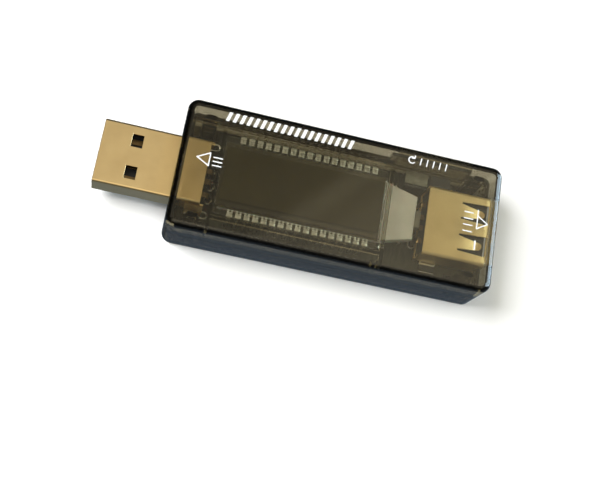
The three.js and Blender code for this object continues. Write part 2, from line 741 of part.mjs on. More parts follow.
// A chip resistor or ceramic capacitor, lying along x or y, with a plated cap at each end.
function chipPart({ x, y, length, width, height, alongY = false }) {
  const cap = 0.18 * length;
  const inset = 0.04;
  const size = (l, w) => (alongY ? [w, l] : [l, w]);
  const coreZ = [onBoard + inset, onBoard + height - inset];
  const core = blockAt(x, y, ...size(length - 2 * inset, width - 2 * inset), coreZ);
  const caps = [-1, 1].map((side) => {
    const shift = side * (length - cap) / 2;
    const [dx, dy] = alongY ? [0, shift] : [shift, 0];
    return blockAt(x + dx, y + dy, ...size(cap, width), [onBoard, onBoard + height]);
  });
  return join(core, ...caps);
}

// A moulded block capacitor with a folded terminal at each end.
function mouldedCapacitor({ x, y, length, width, height }) {
  const body = blockAt(x, y, length, width, [onBoard + 0.15, onBoard + height]);
  const terminals = [-1, 1].map((side) => blockAt(
    x + side * length / 2, y, 0.3, width * 0.6, [onBoard, onBoard + height * 0.6],
  ));
  return join(body, ...terminals);
}

// A small regulator with a tab on one side and three leads on the other.
function voltageRegulator({ x, y, length, width, height }) {
  const body = blockAt(x, y, length, width, [onBoard + 0.05, onBoard + height]);
  const leads = [-1.5, 0, 1.5].map((shift) => blockAt(
    x + shift, y - width / 2 - 0.4, 0.45, 1, [onBoard, onBoard + 0.35],
  ));
  const tab = blockAt(x, y + width / 2 + 0.3, 1.7, 0.8, [onBoard, onBoard + 0.35]);
  return join(body, ...leads, tab);
}

const chipBlack = () => paint(0x1b1b1d, 0.6);
const ceramic = () => paint(0x9c7a55, 0.55);

addPart("controller_chip", leadedChip(
  { x: -8.5, y: 0, length: 7.2, width: 5.3, height: 1.8, leads: 10, pitch: 0.65 },
), chipBlack());
addPart("memory_chip", leadedChip(
  { x: 1.5, y: -1.6, length: 4.9, width: 3.9, height: 1.6, leads: 4, pitch: 1.27 },
), chipBlack());
addPart("amplifier_chip", leadedChip(
  { x: 8.2, y: -1.6, length: 2.9, width: 1.6, height: 1.2, leads: 3, pitch: 0.95 },
), chipBlack());
addPart("voltage_regulator", voltageRegulator(
  { x: -17, y: 1.2, length: 4.5, width: 2.5, height: 1.5 },
), chipBlack());
addPart("shunt_resistor", chipPart(
  { x: 19.2, y: -7.7, length: 2.05, width: 2.9, height: 0.6, alongY: true },
), chipBlack());
addPart("output_capacitor", mouldedCapacitor(
  { x: 18.9, y: 8.2, length: 4, width: 2.3, height: 3.6 },
), chipBlack());
addPart("input_capacitor", chipPart(
  { x: -20.3, y: -2.4, length: 3.2, width: 1.6, height: 1.3, alongY: true },
), ceramic());

const smallParts = [
  ["filter_capacitor_1", -14.2, -4.6, 0.8, ceramic()],
  ["filter_capacitor_2", -2.4, 4.6, 0.8, ceramic()],
  ["divider_resistor_upper", 5.8, 4.2, 0.5, chipBlack()],
  ["divider_resistor_lower", 8.6, 4.2, 0.5, chipBlack()],
  ["backlight_resistor", 12.6, -3.4, 0.5, chipBlack()],
  ["reset_pullup_resistor", 10.6, 6.6, 0.5, chipBlack()],
];
for (const [name, x, y, height, material] of smallParts) {
  addPart(name, chipPart({ x, y, length: 2, width: 1.25, height }), material);
}

// ---------------------------------------------------------------- the whole object

const assembly = new THREE.Group();
assembly.add(...meshes);
assembly.position.x = PLUG.reach / 2;

const powerMeter = new THREE.Group();
powerMeter.add(assembly);

export default powerMeter;
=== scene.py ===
import json
import math
import random

import bmesh
import bpy
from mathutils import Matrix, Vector


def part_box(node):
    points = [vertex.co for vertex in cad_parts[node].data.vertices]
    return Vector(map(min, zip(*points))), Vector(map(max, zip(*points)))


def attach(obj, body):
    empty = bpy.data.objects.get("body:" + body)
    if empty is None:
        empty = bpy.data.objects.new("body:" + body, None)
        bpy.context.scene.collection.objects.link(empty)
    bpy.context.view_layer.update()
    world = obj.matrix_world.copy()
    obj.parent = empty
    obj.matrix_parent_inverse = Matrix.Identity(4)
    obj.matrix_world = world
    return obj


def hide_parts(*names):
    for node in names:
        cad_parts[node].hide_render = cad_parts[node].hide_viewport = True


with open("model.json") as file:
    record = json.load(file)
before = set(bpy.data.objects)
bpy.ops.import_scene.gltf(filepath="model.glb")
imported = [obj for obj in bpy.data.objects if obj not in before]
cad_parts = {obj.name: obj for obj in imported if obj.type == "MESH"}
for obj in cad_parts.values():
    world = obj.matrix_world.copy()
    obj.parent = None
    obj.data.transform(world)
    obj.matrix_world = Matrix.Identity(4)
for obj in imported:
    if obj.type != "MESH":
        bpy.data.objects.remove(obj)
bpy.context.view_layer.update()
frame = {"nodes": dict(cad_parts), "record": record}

# Looks of the inline USB power meter, in metres, in the CAD model's frame:
# +X from the plug to the socket, +Y towards the reset key, +Z up.

MM = 0.001
SMOOTH_ANGLE = math.radians(38)
EDGE_ANGLE = math.radians(40)
EDGE_SEGMENTS = 2
random.seed(7)

SLOT_OF = {row["node"]: row["material_slot"] for row in frame["record"]["subparts"]}
BODY_OF = {
    node: body
    for body, nodes in frame["record"]["behaviour"]["bodies"].items()
    for node in nodes
}
SIGNALS = ("vbus", "dminus", "dplus", "ground")


# ------------------------------------------------------------------ material building blocks

# Where a noise's drift between two values starts and ends.
DRIFT_LOW, DRIFT_HIGH = 0.3, 0.7
# A Mix node's colour sockets, which share their names with its other types' sockets.
MIX_FIRST, MIX_SECOND, MIX_RESULT = 6, 7, 2


def color_ramp(tree, value, stops):
    """A colour ramp through (position, colour) stops; a bare number is a grey."""
    node = tree.nodes.new("ShaderNodeValToRGB")
    elements = node.color_ramp.elements
    while len(elements) < len(stops):
        elements.new(0.5)
    for element, (position, color) in zip(elements, stops):
        element.position = position
        element.color = (*color, 1) if isinstance(color, tuple) else (color, color, color, 1)
    tree.links.new(value, node.inputs["Fac"])
    return node.outputs["Color"]


class Finish:
    """A Principled material, with short helpers for its procedural detail, in millimetres."""

    def __init__(self, name, color, roughness, metallic=0.0, **constants):
        self.material = bpy.data.materials.new(name)
        self.material.use_nodes = True
        self.tree = self.material.node_tree
        self.nodes = self.tree.nodes
        self.links = self.tree.links
        self.surface = self.nodes["Principled BSDF"]
        basics = {"Base Color": (*color, 1), "Roughness": roughness, "Metallic": metallic}
        extras = {key.replace("_", " "): value for key, value in constants.items()}
        self.set(self.surface, **basics, **extras)

    def set(self, node, **constants):
        for name, value in constants.items():
            node.inputs[name].default_value = value

    def add(self, kind, **constants):
        node = self.nodes.new(kind)
        self.set(node, **constants)
        return node

    def millimetres(self, stretch=(1, 1, 1)):
        """Object coordinates in millimetres, stretched along each axis."""
        place = self.add("ShaderNodeTexCoord")
        mapping = self.add("ShaderNodeMapping", Scale=[1000 * s for s in stretch])
        self.links.new(place.outputs["Object"], mapping.inputs["Vector"])
        return mapping.outputs["Vector"]

    def noise(self, scale, detail=3.0, stretch=(1, 1, 1)):
        texture = self.add("ShaderNodeTexNoise", Scale=scale, Detail=detail)
        self.links.new(self.millimetres(stretch), texture.inputs["Vector"])
        return texture.outputs["Fac"]

    def cells(self, scale):
        texture = self.add("ShaderNodeTexVoronoi", Scale=scale)
        self.links.new(self.millimetres(), texture.inputs["Vector"])
        return texture.outputs["Distance"]

    def ramp(self, value, stops):
        return color_ramp(self.tree, value, stops)

    def mix(self, factor, first, second):
        node = self.nodes.new("ShaderNodeMix")
        node.data_type = "RGBA"
        self.links.new(factor, node.inputs["Factor"])
        for index, value in ((MIX_FIRST, first), (MIX_SECOND, second)):
            if isinstance(value, tuple):
                node.inputs[index].default_value = (*value, 1)
            else:
                self.links.new(value, node.inputs[index])
        return node.outputs[MIX_RESULT]

    def color(self, output):
        self.links.new(output, self.surface.inputs["Base Color"])

    def drift(self, scale, detail, dark, light, low=DRIFT_LOW, high=DRIFT_HIGH):
        """The base colour, drifting between two colours over the surface."""
        self.color(self.ramp(self.noise(scale, detail), [(low, dark), (high, light)]))

    def roughness(self, scale, low, high, detail=3.0):
        grey = self.ramp(self.noise(scale, detail), [(DRIFT_LOW, low), (DRIFT_HIGH, high)])
        self.links.new(grey, self.surface.inputs["Roughness"])

    def bump(self, height, depth_mm, below=None):
        """A bump of that depth; below is an earlier bump that this one is added to."""
        node = self.add("ShaderNodeBump", Strength=1.0, Distance=depth_mm * MM)
        self.links.new(height, node.inputs["Height"])
        if below is not None:
            self.links.new(below, node.inputs["Normal"])
        self.links.new(node.outputs["Normal"], self.surface.inputs["Normal"])
        return node.outputs["Normal"]


def see_through(finish, absorption, density_per_mm, shadow_tint):
    """Makes a finish a clear solid that tints light by depth.

    Its shadow takes one tint, whatever the depth.
    """
    finish.set(finish.surface, **{"Transmission Weight": 1.0})
    output = finish.nodes["Material Output"]
    volume = finish.add(
        "ShaderNodeVolumeAbsorption", Color=(*absorption, 1), Density=density_per_mm / MM,
    )
    finish.links.new(volume.outputs["Volume"], output.inputs["Volume"])
    path = finish.add("ShaderNodeLightPath")
    clear = finish.add("ShaderNodeBsdfTransparent", Color=(*shadow_tint, 1))
    choice = finish.add("ShaderNodeMixShader")
    finish.links.new(path.outputs["Is Shadow Ray"], choice.inputs["Fac"])
    finish.links.new(finish.surface.outputs["BSDF"], choice.inputs[1])
    finish.links.new(clear.outputs["BSDF"], choice.inputs[2])
    finish.links.new(choice.outputs["Shader"], output.inputs["Surface"])
    return finish.material


# ------------------------------------------------------------------ finishes

# Of three equally wide roughness ranges rendered on the plug's gold, only the one across
# about 0.27 had specks, so no metal or key finish crosses it.


def smoky_plastic(name, density_per_mm, low=0.01, high=0.045):
    finish = Finish(name, (1, 1, 1), high, IOR=1.55)
    finish.roughness(0.35, low, high, detail=4)
    finish.bump(finish.noise(0.16, detail=1), 0.004)
    return see_through(finish, (0.30, 0.24, 0.02), density_per_mm, (0.88, 0.88, 0.87))


def gold_plate(name, wall_mm=None):
    """Thin gold plating. wall_mm is two places on X: between them, in the wall, the gold is
    painted dark, a painted shade for the light that the wall's plastic takes out.
    """
    finish = Finish(name, (0.92, 0.69, 0.37), 0.3, metallic=1.0)
    gold = finish.ramp(finish.noise(0.25, detail=4), [
        (DRIFT_LOW, (0.88, 0.66, 0.35)), (DRIFT_HIGH, (0.97, 0.74, 0.40)),
    ])
    if wall_mm:
        split = finish.add("ShaderNodeSeparateXYZ")
        finish.links.new(finish.millimetres(), split.inputs["Vector"])
        along = finish.add(
            "ShaderNodeMapRange", **{"From Min": wall_mm[0], "From Max": wall_mm[1]},
        )
        finish.links.new(split.outputs["X"], along.inputs["Value"])
        # Painted shade: the gold fades to dark brown where the shell runs through the wall.
        wall_shade = finish.ramp(along.outputs["Result"], [
            (0.0, 0.0), (0.12, 1.0), (0.88, 1.0), (1.0, 0.0),
        ])
        gold = finish.mix(wall_shade, gold, (0.10, 0.07, 0.035))
    finish.color(gold)
    finish.roughness(0.8, 0.29, 0.35)
    grain = finish.bump(finish.noise(1.6, detail=2, stretch=(0.12, 1, 1)), 0.0012)
    finish.bump(finish.noise(0.25, detail=1), 0.004, below=grain)
    return finish.material


def bright_metal(name, dark, light, low, high):
    """A plated or rolled metal whose colour and roughness drift between two limits."""
    finish = Finish(name, light, high, metallic=1.0)
    finish.drift(1.0, 3, dark, light)
    finish.roughness(1.5, low, high)
    finish.bump(finish.noise(1.2, detail=2), 0.0015)
    return finish.material


def moulded_plastic(name, color, roughness, grain_mm=0.003):
    finish = Finish(name, color, roughness)
    finish.drift(0.8, 4, tuple(0.8 * channel for channel in color), color)
    finish.roughness(2.5, roughness - 0.08, roughness + 0.08, detail=4)
    finish.bump(finish.cells(9), grain_mm)
    return finish.material


def board_laminate():
    """Dark solder mask over raised tracks, with a fine uneven surface."""
    finish = Finish(
        "solder_mask", (0.014, 0.016, 0.012), 0.35, Coat_Weight=0.3, Coat_Roughness=0.2,
    )
    wave = finish.add("ShaderNodeTexWave", Scale=0.32, Distortion=6.0, Detail=0.0)
    finish.links.new(finish.millimetres(), wave.inputs["Vector"])
    tracks = finish.ramp(wave.outputs["Fac"], [(0.44, 0.0), (0.5, 1.0)])
    finish.color(finish.mix(tracks, (0.010, 0.012, 0.009), (0.022, 0.025, 0.017)))
    finish.roughness(3, 0.3, 0.42)
    raised = finish.bump(tracks, 0.012)
    finish.bump(finish.noise(5, detail=2), 0.001, below=raised)
    return finish.material


def display_glass():
    finish = Finish("display_glass", (1, 1, 1), 0.02, IOR=1.5)
    finish.roughness(0.6, 0.01, 0.04)
    finish.bump(finish.noise(0.2, detail=1), 0.002)
    return see_through(finish, (0.58, 0.62, 0.50), 0.12, (0.95, 0.95, 0.94))


def clear_epoxy():
    finish = Finish("clear_epoxy", (1, 1, 1), 0.08, IOR=1.5)
    finish.roughness(3, 0.05, 0.15)
    finish.bump(finish.noise(1.8, detail=2), 0.03)
    return see_through(finish, (0.75, 0.7, 0.45), 0.2, (0.93, 0.93, 0.9))


def polarizer_film():
    finish = Finish("polarizer_film", (0.030, 0.025, 0.010), 0.14, Specular_IOR_Level=0.4)
    finish.drift(0.12, 3, (0.028, 0.023, 0.008), (0.036, 0.030, 0.012))
    finish.roughness(0.5, 0.11, 0.18, detail=4)
    finish.bump(finish.noise(0.25, detail=1), 0.002)
    return finish.material


def milky_guide():
    finish = Finish(
        "milky_acrylic", (0.56, 0.56, 0.56), 0.35,
        Subsurface_Weight=0.2, Subsurface_Scale=0.001,
    )
    finish.drift(0.3, 3, 0.52, 0.60)
    finish.roughness(2, 0.32, 0.45)
    finish.bump(finish.noise(0.8, detail=2), 0.004)
    return finish.material


def white_print():
    finish = Finish("white_pad_print", (0.88, 0.9, 0.92), 0.4)
    finish.drift(5, 5, (0.60, 0.63, 0.66), (0.80, 0.82, 0.84), low=0.25, high=0.55)
    finish.roughness(5, 0.35, 0.55)
    finish.bump(finish.noise(9, detail=3), 0.003)
    return finish.material


def pale_paper(name):
    finish = Finish(name, (0.93, 0.93, 0.93), 0.7)
    finish.drift(0.02, 3, 0.915, 0.93)
    finish.bump(finish.noise(1.5, detail=4), 0.01)
    return finish.material


# How far the plug's gold is painted with shade, inward from the cover's outer end, where the shell
# runs through the wall.
PLUG_WALL_MM = 1.25

SMOKY = smoky_plastic("smoky_polycarbonate", 0.7)
DARK_SMOKY = smoky_plastic("dark_smoky_polycarbonate", 1.5)
KEY_SMOKY = smoky_plastic("key_smoky_polycarbonate", 1.3, 0.17, 0.25)
GOLD = gold_plate("gold_flash_plate")
PLUG_GOLD_WALL_SHADE = gold_plate("plug_gold_plate_wall_shade", [
    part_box("top_cover")[0].x / MM + inset for inset in (0.0, PLUG_WALL_MM)
])
TIN = bright_metal("tin_plate", (0.70, 0.69, 0.63), (0.84, 0.83, 0.78), 0.29, 0.36)
# The contacts' metal: bronze, painted far darker than bright bronze, as painted shade for where
# they lie inside the connectors.
SHADED_BRONZE = bright_metal("spring_bronze_painted_shade", (0.20, 0.14, 0.07), (0.28, 0.20, 0.10), 0.32, 0.42)
DULL_STEEL = bright_metal("dull_steel", (0.26, 0.25, 0.22), (0.33, 0.32, 0.28), 0.36, 0.46)
# The flat faces where the covers meet are near black: partly a dull, dusty joint and partly
# painted shade in it, which also darkens the near wall seen from above.
JOINT_DUST_AND_SHADE = moulded_plastic("joint_dust_and_shade", (0.010, 0.010, 0.009), 0.6)
BLACK = moulded_plastic("black_moulding", (0.02, 0.021, 0.023), 0.42)
WHITE = moulded_plastic("white_moulding", (0.78, 0.78, 0.74), 0.5)
CHIP = moulded_plastic("chip_epoxy", (0.028, 0.028, 0.03), 0.55, grain_mm=0.006)
CERAMIC = moulded_plastic("tan_ceramic", (0.42, 0.29, 0.17), 0.5)
LED_BODY = moulded_plastic("led_moulding", (0.15, 0.145, 0.12), 0.45)
EPOXY = clear_epoxy()
PRINT = white_print()

FINISH_OF_SLOT = {
    "smoky_case": SMOKY,
    "gold_plate": GOLD,
    "tin_plate": TIN,
    "black_plastic": BLACK,
    "white_plastic": WHITE,
    "board_laminate": board_laminate(),
    "display_glass": display_glass(),
    "polarizer_film": polarizer_film(),
    "light_guide": milky_guide(),
    "led_body": LED_BODY,
    "chip_black": CHIP,
    "ceramic_tan": CERAMIC,
}


# ------------------------------------------------------------------ mesh building blocks


def new_piece(name, solid, body, slot, *materials, replaces=()):
    """Turns a bmesh into a smooth-shaded piece that rides on a body."""
    mesh = bpy.data.meshes.new(name)
    bmesh.ops.recalc_face_normals(solid, faces=solid.faces)
    solid.to_mesh(mesh)
    solid.free()
    for material in materials:
        mesh.materials.append(material)
    mesh.shade_smooth()
    mesh.set_sharp_from_angle(angle=SMOOTH_ANGLE)
    piece = bpy.data.objects.new(name, mesh)
    bpy.context.scene.collection.objects.link(piece)
    weights = piece.modifiers.new("weighted_normals", "WEIGHTED_NORMAL")
    weights.keep_sharp = True
    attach(piece, body)
    if replaces:
        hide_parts(*replaces)


def cad_solid(node):
    """A CAD node's solid as a bmesh, with its flat faces whole again."""
    solid = bmesh.new()
    solid.from_mesh(frame["nodes"][node].data)
    bmesh.ops.remove_doubles(solid, verts=solid.verts, dist=0.0005 * MM)
    bmesh.ops.dissolve_limit(
        solid, angle_limit=math.radians(0.6), verts=solid.verts, edges=solid.edges,
    )
    return solid


def round_edges(solid, radius):
    """Rounds every edge that turns more than EDGE_ANGLE."""
    sharp = [
        edge for edge in solid.edges
        if len(edge.link_faces) == 2 and edge.calc_face_angle(0) > EDGE_ANGLE
    ]
    bmesh.ops.bevel(
        solid, geom=sharp, offset=radius, offset_type="OFFSET", segments=EDGE_SEGMENTS,
        profile=0.5, affect="EDGES", clamp_overlap=True,
    )


def refined(node, radius_mm, *extra_materials, choose=None, finish=None):
    """The CAD node with its edges rounded. choose(centre) gives a face's material index."""
    solid = cad_solid(node)
    for face in solid.faces:
        face.material_index = choose(face.calc_center_median()) if choose else 0
    round_edges(solid, radius_mm * MM)
    slot = SLOT_OF[node]
    new_piece(
        f"{node}_shape", solid, BODY_OF[node], slot, finish or FINISH_OF_SLOT[slot],
        *extra_materials, replaces=(node,),
    )


def add_box(solid, low, high):
    made = bmesh.ops.create_cube(solid, size=1)
    for vertex in made["verts"]:
        for axis in range(3):
            middle, size = (low[axis] + high[axis]) / 2, high[axis] - low[axis]
            vertex.co[axis] = middle + vertex.co[axis] * size


def add_slab(solid, outline, z, thickness):
    """A flat slab with that outline, a list of (x, y), from z upwards."""
    lower = [solid.verts.new((x, y, z)) for x, y in outline]
    upper = [solid.verts.new((x, y, z + thickness)) for x, y in outline]
    count = len(outline)
    solid.faces.new(list(reversed(lower)))
    solid.faces.new(upper)
    for i in range(count):
        j = (i + 1) % count
        solid.faces.new((lower[i], lower[j], upper[j], upper[i]))


def add_line(solid, start, end, width, z, thickness):
    """A straight printed line with round ends."""
    start, end = Vector(start), Vector(end)
    along = (end - start).normalized()
    turn = math.atan2(along.y, along.x)
    steps = 6
    outline = []
    for centre, first in ((end, -math.pi / 2), (start, math.pi / 2)):
        for i in range(steps + 1):
            angle = turn + first + math.pi * i / steps
            outline.append((
                centre.x + width / 2 * math.cos(angle),
                centre.y + width / 2 * math.sin(angle),
            ))
    add_slab(solid, outline, z, thickness)


def join_loops(solid, one, other):
    """Faces between two closed loops of as many vertices."""
    count = len(one)
    for j in range(count):
        k = (j + 1) % count
        solid.faces.new((one[j], one[k], other[k], other[j]))


# ------------------------------------------------------------------ case and connectors

JOINT_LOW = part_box("top_cover")[0].z
JOINT_REACH = 0.15 * MM


def on_joint(centre):
    """Chooses material 1, near black, partly dust and partly painted shade, for the flat faces
    where the two covers meet.
    """
    return int(abs(centre.z - JOINT_LOW) < JOINT_REACH)


refined("top_cover", 0.06, JOINT_DUST_AND_SHADE, choose=on_joint)
refined("bottom_cover", 0.1, JOINT_DUST_AND_SHADE, choose=on_joint, finish=DARK_SMOKY)
refined("reset_button", 0.15, finish=KEY_SMOKY)
# The plug shell's gold carries painted shade where it runs through the wall.
refined("plug_shell", 0.06, finish=PLUG_GOLD_WALL_SHADE)
refined("plug_insulator", 0.08)
refined("socket_shell", 0.05)
refined("socket_insulator", 0.1)
# The contacts take the bronze that is partly painted shade.
for connector in ("plug", "socket"):
    for signal in SIGNALS:
        refined(f"{connector}_contact_{signal}", 0.04, finish=SHADED_BRONZE)


# ------------------------------------------------------------------ board and its parts

# How far leads stand out of a body, and where the plating of an end starts, as a share
# of the way from the part's middle to its end.
CHIP_LEADS_MM = 0.93
REGULATOR_LEADS_MM = 0.68
CHIP_ENDS = 0.62
BLOCK_ENDS = 0.96


def ends_of(node, axis, share):
    """Chooses material 1 for a part's plated ends along an axis, and 0 between them."""
    low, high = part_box(node)
    middle, reach = (low[axis] + high[axis]) / 2, (high[axis] - low[axis]) / 2
    return lambda centre: int(abs(centre[axis] - middle) > share * reach)


def sides_of(node, inset_mm):
    """Chooses material 1 for what stands out of a moulded body along Y, such as leads."""
    low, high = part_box(node)
    return lambda centre: int(
        centre.y < low.y + inset_mm * MM or centre.y > high.y - inset_mm * MM
    )


refined("circuit_board", 0.05)
for node, radius_mm, leads_mm in (
    ("controller_chip", 0.05, CHIP_LEADS_MM),
    ("memory_chip", 0.05, CHIP_LEADS_MM),
    ("amplifier_chip", 0.04, CHIP_LEADS_MM),
    ("voltage_regulator", 0.05, REGULATOR_LEADS_MM),
):
    refined(node, radius_mm, TIN, choose=sides_of(node, leads_mm))
refined("output_capacitor", 0.08, TIN, choose=ends_of("output_capacitor", 0, BLOCK_ENDS))
for node in ("shunt_resistor", "input_capacitor"):
    refined(node, 0.04, TIN, choose=ends_of(node, 1, CHIP_ENDS))
for node in (
    "filter_capacitor_1", "filter_capacitor_2", "divider_resistor_upper",
    "divider_resistor_lower", "backlight_resistor", "reset_pullup_resistor",
):
    refined(node, 0.03, TIN, choose=ends_of(node, 0, CHIP_ENDS))
refined("switch_housing", 0.06)
refined("switch_plunger", 0.06)
refined("switch_dome", 0.01, finish=DULL_STEEL)
refined("switch_cover_plate", 0.03, finish=DULL_STEEL)


RING_HALF = 0.15 * MM
TAIL_INSET = 0.1 * MM
TAIL_RING = (0.62 * MM, 0.78 * MM)
LEG_INSET = 0.15 * MM
PLUG_LEG_BACK = 0.9 * MM
PLUG_LEG_RING = (2.0 * MM, 0.6 * MM)
SOCKET_LEG_FORWARD = 2.9 * MM
SOCKET_LEG_RING = (1.35 * MM, 0.6 * MM)


def add_ring(solid, x, y, half_length, half_width):
    """A fillet of solder round a tail or leg, as a rounded loop on the board."""
    around, arc = 8, 6
    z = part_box("circuit_board")[1].z
    radius = min(half_length, half_width)
    straight_x, straight_y = half_length - radius, half_width - radius
    path = []
    for quarter, (sx, sy) in enumerate(((1, 1), (-1, 1), (-1, -1), (1, -1))):
        corner = Vector((x + sx * straight_x, y + sy * straight_y, z))
        for i in range(arc + 1):
            angle = math.pi / 2 * (quarter + i / arc)
            outward = Vector((math.cos(angle), math.sin(angle), 0))
            path.append((corner + outward * radius, outward))
    loops = []
    for centre, outward in path:
        swell = RING_HALF * random.uniform(0.85, 1.15)
        loop = []
        for j in range(around):
            turn = 2 * math.pi * j / around
            lift = Vector((0, 0, swell * (1 + math.sin(turn))))
            loop.append(solid.verts.new(centre + outward * swell * math.cos(turn) + lift))
        loops.append(loop)
    for one, other in zip(loops, loops[1:] + loops[:1]):
        join_loops(solid, one, other)


def solder_rings():
    solid = bmesh.new()
    for signal in SIGNALS:
        for connector in ("plug", "socket"):
            low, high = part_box(f"{connector}_contact_{signal}")
            tail_x = high.x - TAIL_INSET if connector == "plug" else low.x + TAIL_INSET
            add_ring(solid, tail_x, (low.y + high.y) / 2, *TAIL_RING)
    plug_x, plug_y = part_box("plug_shell")[1].xy
    socket_x, socket_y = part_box("socket_shell")[0].xy
    for side in (-1, 1):
        add_ring(solid, plug_x - PLUG_LEG_BACK, side * (plug_y - LEG_INSET), *PLUG_LEG_RING)
        add_ring(
            solid, socket_x + SOCKET_LEG_FORWARD, -side * (socket_y + LEG_INSET),
            *SOCKET_LEG_RING,
        )
    new_piece("solder_rings", solid, "case", "tin_plate", TIN)


solder_rings()


# ------------------------------------------------------------------ display

PLATE_GAP = 0.012 * MM


def display_plate(node, radius_mm):
    """A pane or film of the display, a hair thinner than its CAD solid so that none touch."""
    low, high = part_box(node)
    solid = bmesh.new()
    gap = Vector((0, 0, PLATE_GAP))
    add_box(solid, low + gap, high - gap)
    round_edges(solid, radius_mm * MM)
    slot = SLOT_OF[node]
    new_piece(
        f"{node}_shape", solid, BODY_OF[node], slot, FINISH_OF_SLOT[slot], replaces=(node,),
    )


for plate in ("lcd_front_polarizer", "lcd_rear_polarizer"):
    display_plate(plate, 0.05)
for plate in ("lcd_front_glass", "lcd_rear_glass"):
    display_plate(plate, 0.1)
refined("backlight_diffuser", 0.12)
refined("backlight_reflector", 0.02)
refined("backlight_led", 0.06)

GLASS_LOW, GLASS_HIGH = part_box("lcd_rear_glass")

PIN_COUNT = 17
PIN_FIRST = 3.0 * MM
PIN_LAST = -2.5 * MM
PIN_WIDTH = 1.04 * MM
PIN_RISE = 0.15 * MM
PIN_CLEAR = 0.05 * MM
PIN_EDGE = 0.03 * MM
PRONG_GAP = 0.3 * MM
BRIDGE_REACH = 0.5 * MM
CELL = 0.27 * MM
GROOVE = 0.13 * MM
PIN_SHANK = 0.5 * MM
PIN_SHEET = 0.2 * MM
TAB_REACH = 1.3 * MM
TAB_INSET = 0.2 * MM


def pin_places():
    """The pins' places along X, from the glass that they grip."""
    first, last = GLASS_LOW.x + PIN_FIRST, GLASS_HIGH.x + PIN_LAST
    return [first + (last - first) * i / (PIN_COUNT - 1) for i in range(PIN_COUNT)]


def pin_row(node, side):
    """A row of clip-on pins.

    Each has two grooved prongs and a bridge on the ledge, a tab under it, and a shank.
    """
    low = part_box(node)[0]
    shank_out = GLASS_HIGH.y + PIN_CLEAR + PIN_SHEET
    solid = bmesh.new()

    def clip(x, half, y_in, y_out, z_low, z_high):
        span = sorted((side * y_in, side * y_out))
        add_box(solid, (x - half, span[0], z_low), (x + half, span[1], z_high))

    ledge = GLASS_HIGH.z
    top = ledge + PIN_RISE
    floor = GLASS_LOW.z
    tab_in = shank_out - TAB_REACH
    bridge_in = shank_out - BRIDGE_REACH
    half = PIN_WIDTH / 2
    prong = (PIN_WIDTH - PRONG_GAP) / 4
    for x in pin_places():
        for turn in (-1, 1):
            middle = x + turn * (half - prong)
            clip(
                middle, prong / 3, tab_in + PIN_CLEAR, bridge_in + PIN_CLEAR,
                ledge, top - PIN_CLEAR,
            )
            clip(middle, prong, tab_in, tab_in + CELL, ledge, top)
            clip(middle, prong, tab_in + CELL + GROOVE, bridge_in - GROOVE, ledge, top)
        clip(x, half, bridge_in, shank_out, ledge, top)
        clip(x, PIN_SHANK / 2, tab_in + TAB_INSET, shank_out, floor - PIN_SHEET, floor)
        clip(
            x, PIN_SHANK / 2, shank_out - PIN_SHEET, shank_out,
            low.z, ledge + PIN_SHEET * 0.5,
        )
    round_edges(solid, PIN_EDGE)
    new_piece(f"{node}_pins", solid, BODY_OF[node], "tin_plate", TIN, replaces=(node,))


BEAD_LEAD = 0.8 * MM
BEAD_TRAIL = 0.3 * MM
BEAD_OUT = 0.12 * MM
BEAD_LIFT = 0.2 * MM
BEAD_HALF_WIDTH = 0.16 * MM
BEAD_HALF_HEIGHT = 0.18 * MM


def epoxy_bead(node, side):
    """The uneven bead of clear epoxy along the pins, outside the glass's edge."""
    start = GLASS_LOW.x + PIN_FIRST - BEAD_LEAD
    end = GLASS_HIGH.x - BEAD_TRAIL
    steps, around = 90, 8
    solid = bmesh.new()
    rings = []
    for i in range(steps + 1):
        x = start + (end - start) * i / steps
        swell = 1 + 0.16 * math.sin(i * 1.1) + 0.1 * random.uniform(-1, 1)
        taper = min(1, 0.25 + min(i, steps - i) / 3)
        ring = []
        for j in range(around):
            angle = 2 * math.pi * j / around
            out = BEAD_HALF_WIDTH * swell * taper * math.cos(angle)
            up = BEAD_HALF_HEIGHT * swell * taper * math.sin(angle)
            y = side * (GLASS_HIGH.y + BEAD_OUT) + out
            ring.append(solid.verts.new((x, y, GLASS_LOW.z + BEAD_LIFT + up)))
        rings.append(ring)
    for one, other in zip(rings, rings[1:]):
        join_loops(solid, one, other)
    solid.faces.new(rings[0])
    solid.faces.new(list(reversed(rings[-1])))
    new_piece(f"{node}_bead", solid, BODY_OF[node], "display_glass", EPOXY)


for row, side in (("lcd_pin_row_far", 1), ("lcd_pin_row_near", -1)):
    pin_row(row, side)
    epoxy_bead(row, side)


def epoxy_drop():
    """The drop of clear epoxy at the display's near corner, beside the light guide."""
    place = Vector((
        GLASS_HIGH.x + 0.55 * MM, GLASS_LOW.y + 0.3 * MM, GLASS_HIGH.z + 0.1 * MM,
    ))
    half_x, half_y, half_z = 0.5, 0.6, 0.35
    solid = bmesh.new()
    bmesh.ops.create_icosphere(solid, subdivisions=3, radius=1)
    for vertex in solid.verts:
        x, y, z = vertex.co
        lump = 1 + 0.08 * math.sin(3 * x + 5 * y)
        vertex.co = place + Vector((x * half_x, y * half_y, z * half_z)) * lump * MM
    new_piece("epoxy_drop", solid, "case", "display_glass", EPOXY)


epoxy_drop()


# ------------------------------------------------------------------ print on the roof

ROOF_LOW, ROOF_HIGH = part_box("top_cover")
ROOF_MIDDLE = (ROOF_LOW.x + ROOF_HIGH.x) / 2
PRINT_DEPTH = 0.02 * MM
LINE = 0.22 * MM
# Each line of a mark is printed a hair thicker than the last, so that no two tops meet.
LINE_LIFT = 0.0005 * MM

TITLE_BARS = 19
TITLE_LEFT, TITLE_LOW = -22.6, 8.85
BAR_WIDTH, BAR_HEIGHT, BAR_SLANT, BAR_PITCH = 0.62, 1.75, 0.5, 1.24

